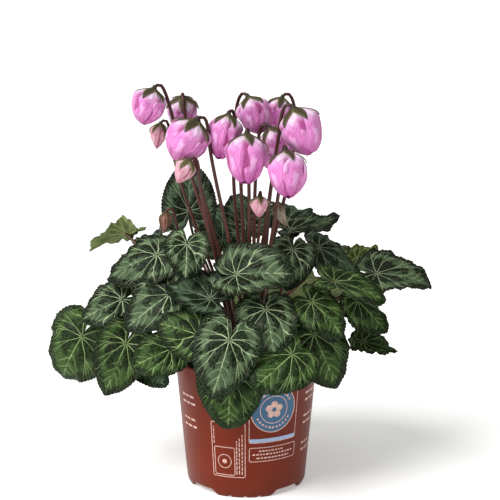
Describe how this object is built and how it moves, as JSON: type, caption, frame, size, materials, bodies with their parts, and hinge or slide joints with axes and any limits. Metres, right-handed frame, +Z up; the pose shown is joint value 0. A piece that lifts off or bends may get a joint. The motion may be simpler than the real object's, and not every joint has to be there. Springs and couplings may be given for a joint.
{
  "type": "potted cyclamen",
  "caption": "Florist's cyclamen in bud in a thin round plastic grow pot: silver-patterned heart-shaped leaves arching over the rim and nodding pink flowers on hooked stems.",
  "frame": {"origin": "centre of the pot's foot on the surface it stands on, on the pot's axis", "axes": "+Z up along the pot's axis, -Y to the front, the side with the printed panels and the fullest foliage, +X to the right seen from the front; the tallest flowers are above the pot, a little to the front"},
  "size_m": [0.3215, 0.2234, 0.3353],
  "materials": {
    "pot": "satin",
    "soil": "matte",
    "tuber": "matte",
    "flower": "satin",
    "bud": "satin",
    "dry_bud": "matte",
    "young_bud": "matte",
    "leaf_silver": "satin",
    "leaf_green": "satin",
    "leaf_dark": "satin",
    "leaf_pale": "satin"
  },
  "bodies": {
    "root": {"pot": "pot", "soil": "soil", "tuber": "tuber", "leaf_01": "leaf_pale", "leaf_02": "leaf_dark", "leaf_03": "leaf_silver", "leaf_04": "leaf_pale", "leaf_05": "leaf_silver", "leaf_06": "leaf_silver", "leaf_07": "leaf_green", "leaf_08": "leaf_green", "leaf_09": "leaf_dark", "leaf_10": "leaf_green", "leaf_11": "leaf_green", "leaf_12": "leaf_dark", "leaf_13": "leaf_silver", "leaf_14": "leaf_green", "leaf_15": "leaf_silver", "leaf_16": "leaf_silver", "leaf_17": "leaf_green", "leaf_18": "leaf_green", "leaf_19": "leaf_green", "leaf_20": "leaf_dark", "leaf_21": "leaf_silver", "leaf_22": "leaf_silver", "leaf_23": "leaf_dark", "leaf_24": "leaf_silver", "leaf_25": "leaf_pale", "leaf_26": "leaf_green", "leaf_27": "leaf_green", "leaf_28": "leaf_green", "leaf_29": "leaf_dark", "leaf_30": "leaf_dark", "leaf_31": "leaf_silver", "leaf_32": "leaf_dark", "leaf_33": "leaf_green", "leaf_34": "leaf_green", "leaf_35": "leaf_silver", "leaf_36": "leaf_green", "leaf_37": "leaf_silver", "leaf_38": "leaf_green", "leaf_39": "leaf_dark", "leaf_40": "leaf_silver", "leaf_41": "leaf_silver", "flower_01": "flower", "flower_02": "flower", "flower_03": "bud", "flower_04": "flower", "flower_05": "flower", "flower_06": "flower", "flower_07": "flower", "flower_08": "flower", "flower_09": "flower", "flower_10": "flower", "flower_11": "flower", "flower_12": "flower", "flower_13": "bud", "flower_14": "bud", "flower_15": "dry_bud", "flower_16": "young_bud"}
  },
  "joints": []
}
